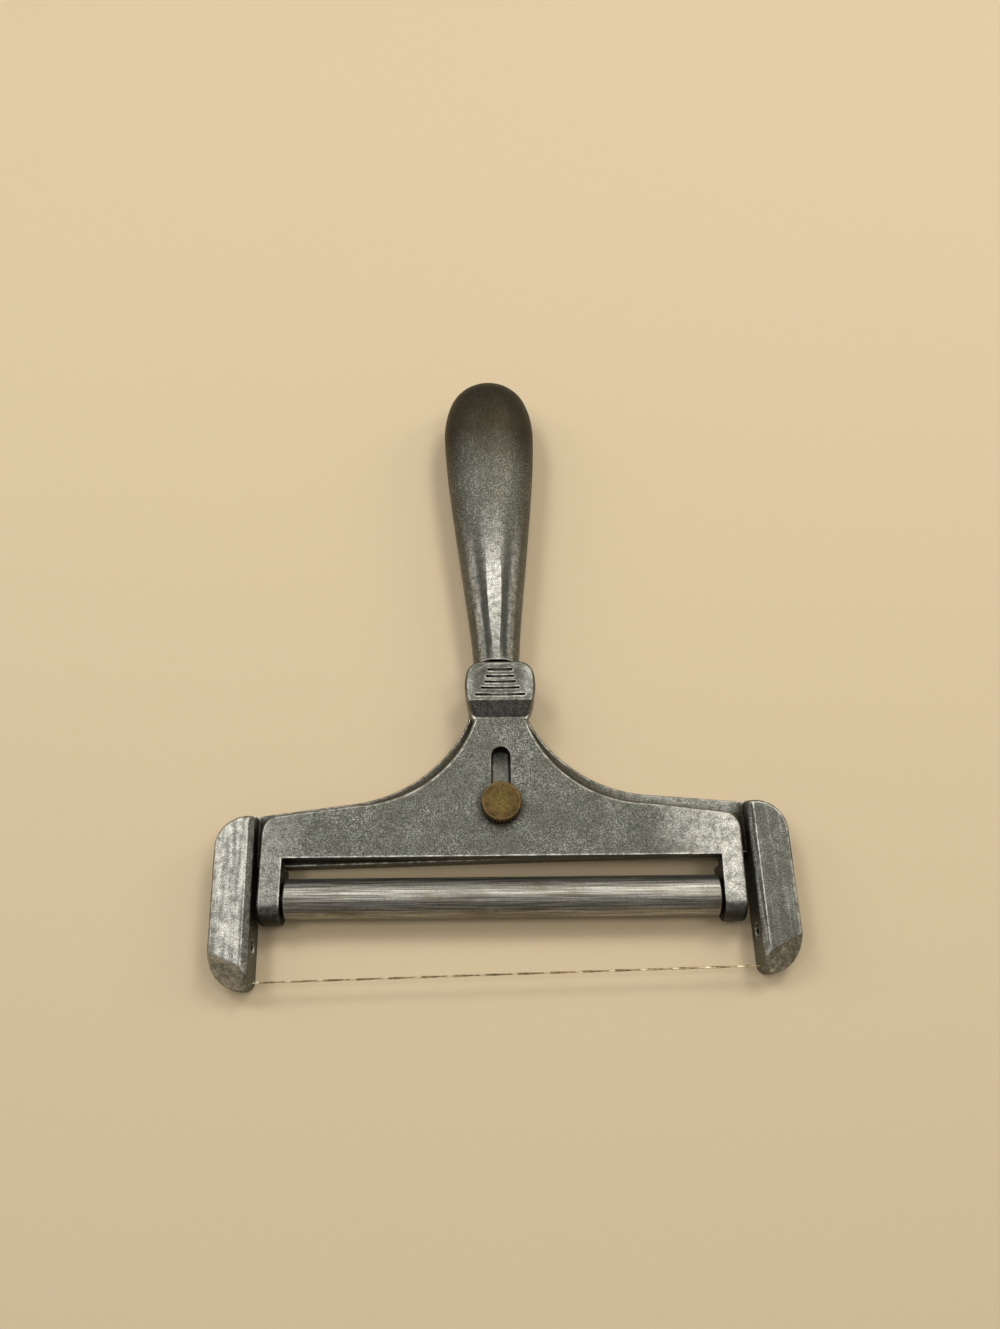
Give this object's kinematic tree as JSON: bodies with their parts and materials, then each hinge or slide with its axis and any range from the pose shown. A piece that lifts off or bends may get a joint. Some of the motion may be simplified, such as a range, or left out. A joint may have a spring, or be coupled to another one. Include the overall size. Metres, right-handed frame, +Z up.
{
  "type": "cheese slicer",
  "caption": "Hand-held wire cheese slicer with a cast paddle handle and an adjustable roller carriage locked by a thumbscrew.",
  "frame": {"origin": "on the table, under the middle of the outline's bounding box", "axes": "+X along the wire to the right as seen from the front, +Y toward the end of the handle, +Z up out of the front face, with the thumbscrew's head on top"},
  "size_m": [0.129, 0.1522, 0.0166],
  "materials": {
    "frame_casting": "aged sand casting, worn smooth at the handle",
    "carriage_casting": "aged sand casting with a fine grain",
    "roller_metal": "drawn bar, fine marks along its length",
    "pin_steel": "plain steel",
    "screw_brass": "aged brass, browned",
    "wire_steel": "two strands twisted together"
  },
  "bodies": {
    "frame": {"handle_frame": "frame_casting", "cutting_wire": "wire_steel", "wire_screw_left": "pin_steel", "wire_screw_right": "pin_steel"},
    "carriage": {"roller_carriage": "carriage_casting", "roller_axle": "pin_steel"},
    "roller": {"roller": "roller_metal"},
    "thumbscrew": {"thumbscrew": "screw_brass"}
  },
  "joints": [
    {"name": "carriage_slide", "type": "slide", "parent": "frame", "child": "carriage", "axis": [-0.0222, -0.9998, 0], "range_m": [0, 0.0089]},
    {"name": "roller_spin", "type": "hinge", "parent": "carriage", "child": "roller", "pos_m": [-0.00044, -0.05799, 0.005], "axis": [0.9998, -0.0222, 0], "continuous": true},
    {"name": "thumbscrew_turn", "type": "hinge", "parent": "frame", "child": "thumbscrew", "pos_m": [0, -0.0381, 0], "axis": [0, 0, 1], "range_deg": [0, 720]}
  ]
}
